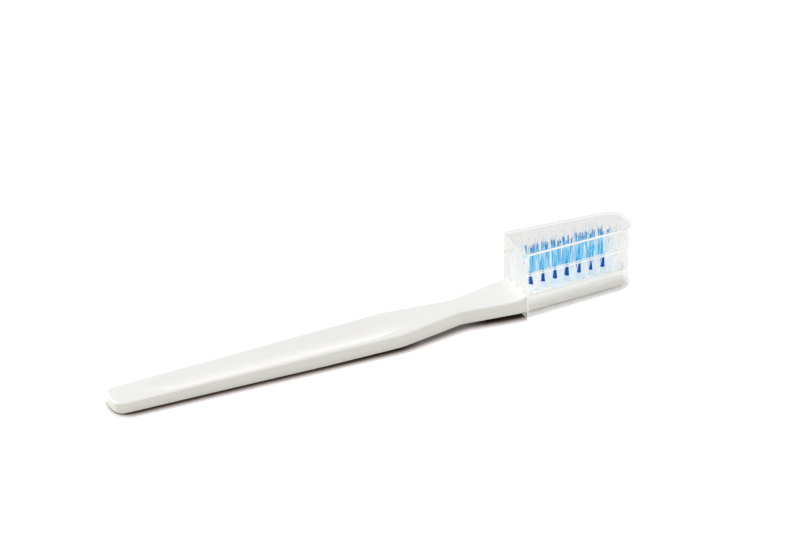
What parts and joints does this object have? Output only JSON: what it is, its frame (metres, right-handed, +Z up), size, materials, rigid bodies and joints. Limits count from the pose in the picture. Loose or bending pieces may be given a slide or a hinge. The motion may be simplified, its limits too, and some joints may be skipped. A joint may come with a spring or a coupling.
{
  "type": "manual toothbrush",
  "caption": "Straight slim manual toothbrush with upright bristle tufts set in holes, and a clear cap that slides off over the head.",
  "frame": {"origin": "under the middle of the brush with its cap on, on the surface that it lies on", "axes": "+X from the tail of the handle to the tip of the head, +Z up along the bristles, +Y to the left"},
  "size_m": [0.1498, 0.0144, 0.0195],
  "materials": {
    "handle_white": "satin gloss",
    "bristle_white": "fine translucent filaments",
    "bristle_blue": "fine translucent filaments",
    "anchor_brass": "drawn wire",
    "cap_clear": "clear, very slightly hazy"
  },
  "bodies": {
    "brush": {"handle": "handle_white", "tuft_right_1": "bristle_white", "tuft_right_2": "bristle_white", "tuft_right_3": "bristle_white", "tuft_right_4": "bristle_white", "tuft_right_5": "bristle_white", "tuft_right_6": "bristle_white", "tuft_right_7": "bristle_white", "tuft_right_8": "bristle_white", "tuft_middle_1": "bristle_white", "tuft_middle_2": "bristle_blue", "tuft_middle_3": "bristle_blue", "tuft_middle_4": "bristle_blue", "tuft_middle_5": "bristle_blue", "tuft_middle_6": "bristle_blue", "tuft_middle_7": "bristle_blue", "tuft_middle_8": "bristle_blue", "tuft_left_1": "bristle_white", "tuft_left_2": "bristle_white", "tuft_left_3": "bristle_white", "tuft_left_4": "bristle_white", "tuft_left_5": "bristle_white", "tuft_left_6": "bristle_white", "tuft_left_7": "bristle_white", "tuft_left_8": "bristle_white", "tuft_tip": "bristle_white", "anchor_right_1": "anchor_brass", "anchor_right_2": "anchor_brass", "anchor_right_3": "anchor_brass", "anchor_right_4": "anchor_brass", "anchor_right_5": "anchor_brass", "anchor_right_6": "anchor_brass", "anchor_right_7": "anchor_brass", "anchor_right_8": "anchor_brass", "anchor_middle_1": "anchor_brass", "anchor_middle_2": "anchor_brass", "anchor_middle_3": "anchor_brass", "anchor_middle_4": "anchor_brass", "anchor_middle_5": "anchor_brass", "anchor_middle_6": "anchor_brass", "anchor_middle_7": "anchor_brass", "anchor_middle_8": "anchor_brass", "anchor_left_1": "anchor_brass", "anchor_left_2": "anchor_brass", "anchor_left_3": "anchor_brass", "anchor_left_4": "anchor_brass", "anchor_left_5": "anchor_brass", "anchor_left_6": "anchor_brass", "anchor_left_7": "anchor_brass", "anchor_left_8": "anchor_brass", "anchor_tip": "anchor_brass"},
    "cap": {"cap": "cap_clear"}
  },
  "joints": [
    {"name": "cap_slide", "type": "slide", "parent": "brush", "child": "cap", "axis": [1, 0, 0], "range_m": [0, 0.036]}
  ]
}
